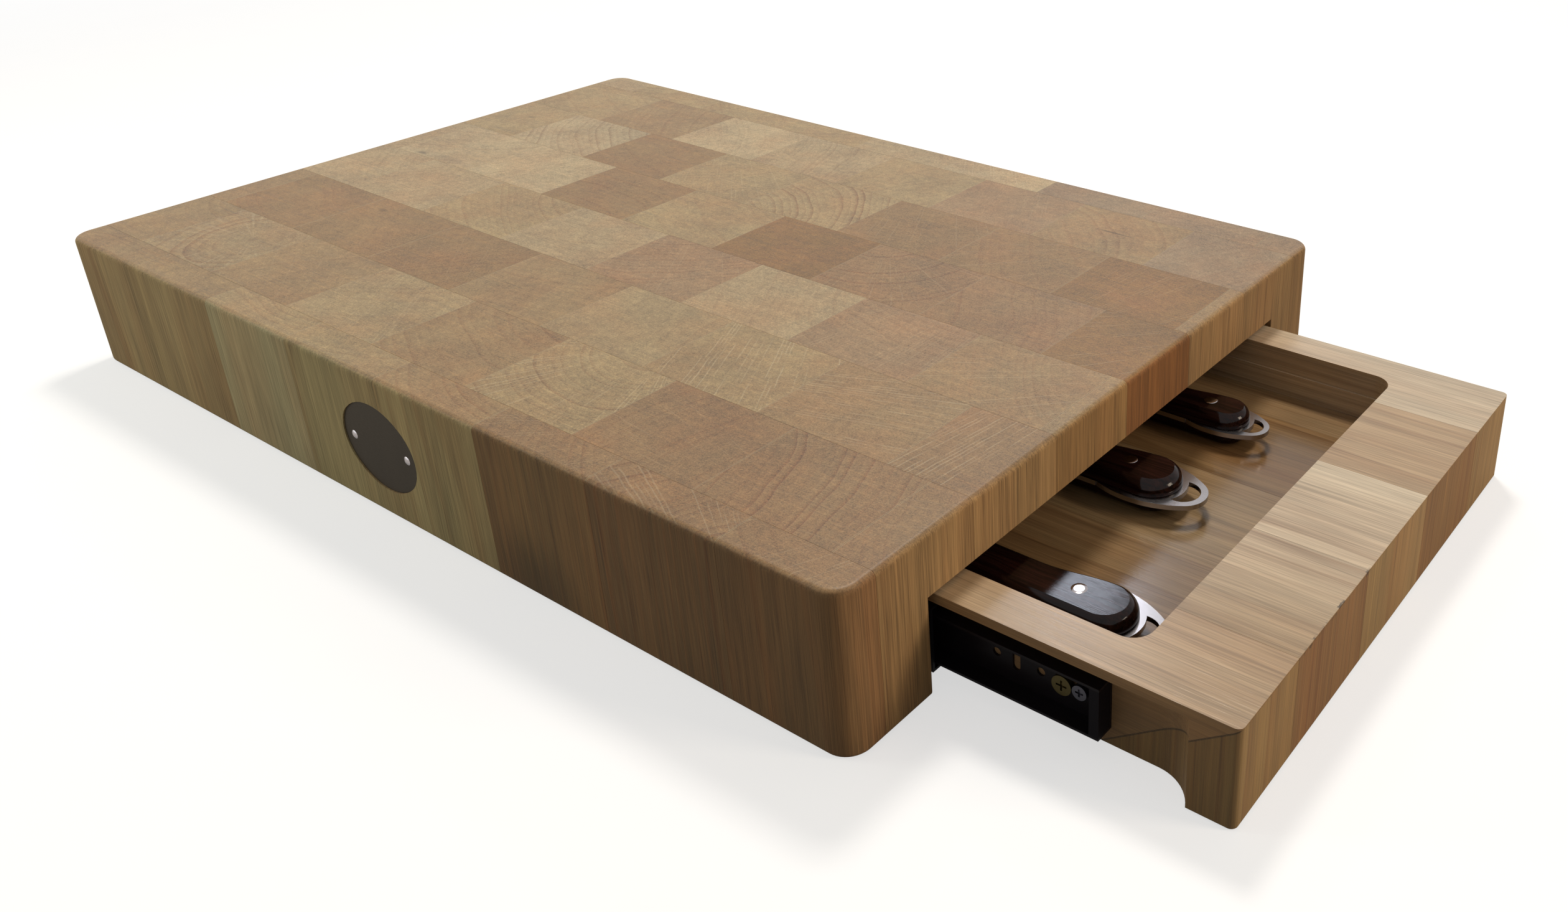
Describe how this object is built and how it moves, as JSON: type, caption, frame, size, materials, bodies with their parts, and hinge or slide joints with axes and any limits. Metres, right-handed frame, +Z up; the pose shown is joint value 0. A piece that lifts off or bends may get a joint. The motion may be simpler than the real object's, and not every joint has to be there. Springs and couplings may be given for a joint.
{
  "type": "cutting board with drawer tray",
  "caption": "Thick end-grain chopping block with a shallow tray drawer on ball slides under its slab, holding knives that lie flat.",
  "frame": {"origin": "middle of the part's footprint on the table, measured with the drawer open as stored", "axes": "+X the way the drawer opens, +Z up, the plaque faces -Y"},
  "size_m": [0.736, 0.4, 0.08],
  "materials": {
    "stave_wood": "oiled",
    "plaque_metal": "brushed",
    "pin_metal": "polished",
    "packer_wood": "plain",
    "rail_black": "satin",
    "rail_inner": "satin",
    "cage_steel": "satin",
    "ball_steel": "polished",
    "board_wood": "oiled",
    "front_wood": "oiled",
    "stop_plastic": "satin",
    "yellow_zinc": "plated",
    "screw_steel": "plated",
    "knife_steel": "polished",
    "scale_wood": "gloss",
    "rivet_steel": "satin"
  },
  "bodies": {
    "block": {"block_row_1": "stave_wood", "block_row_2": "stave_wood", "block_row_3": "stave_wood", "block_row_4": "stave_wood", "block_row_5": "stave_wood", "block_row_6": "stave_wood", "block_row_7": "stave_wood", "block_row_8": "stave_wood", "plaque": "plaque_metal", "plaque_pins": "pin_metal", "slide_packers": "packer_wood", "cabinet_members": "rail_inner", "cabinet_screws": "yellow_zinc"},
    "outer_ball_cages": {"outer_cages": "cage_steel", "outer_balls": "ball_steel"},
    "middle_rails": {"middle_members": "rail_inner"},
    "inner_ball_cages": {"inner_cages": "cage_steel", "inner_balls": "ball_steel"},
    "drawer": {"drawer_board": "board_wood", "drawer_front": "front_wood", "drawer_members": "rail_black", "member_stops": "stop_plastic", "yellow_screws": "yellow_zinc", "silver_screws": "screw_steel", "knife_1_blade": "knife_steel", "knife_1_scales": "scale_wood", "knife_1_rivets": "rivet_steel", "knife_2_blade": "knife_steel", "knife_2_scales": "scale_wood", "knife_2_rivets": "rivet_steel", "knife_3_blade": "knife_steel", "knife_3_scales": "scale_wood", "knife_3_rivets": "rivet_steel"}
  },
  "joints": [
    {"name": "drawer_slide", "type": "slide", "parent": "block", "child": "drawer", "axis": [1, 0, 0], "range_m": [-0.136, 0.314]},
    {"name": "middle_slide", "type": "slide", "parent": "block", "child": "middle_rails", "axis": [1, 0, 0], "range_m": [-0.068, 0.157]},
    {"name": "outer_cage_slide", "type": "slide", "parent": "block", "child": "outer_ball_cages", "axis": [1, 0, 0], "range_m": [-0.034, 0.0785]},
    {"name": "inner_cage_slide", "type": "slide", "parent": "block", "child": "inner_ball_cages", "axis": [1, 0, 0], "range_m": [-0.102, 0.2355]}
  ],
  "couplings": [
    {"joint": "middle_slide", "follows": "drawer_slide", "ratio": 0.5},
    {"joint": "outer_cage_slide", "follows": "drawer_slide", "ratio": 0.25},
    {"joint": "inner_cage_slide", "follows": "drawer_slide", "ratio": 0.75}
  ]
}
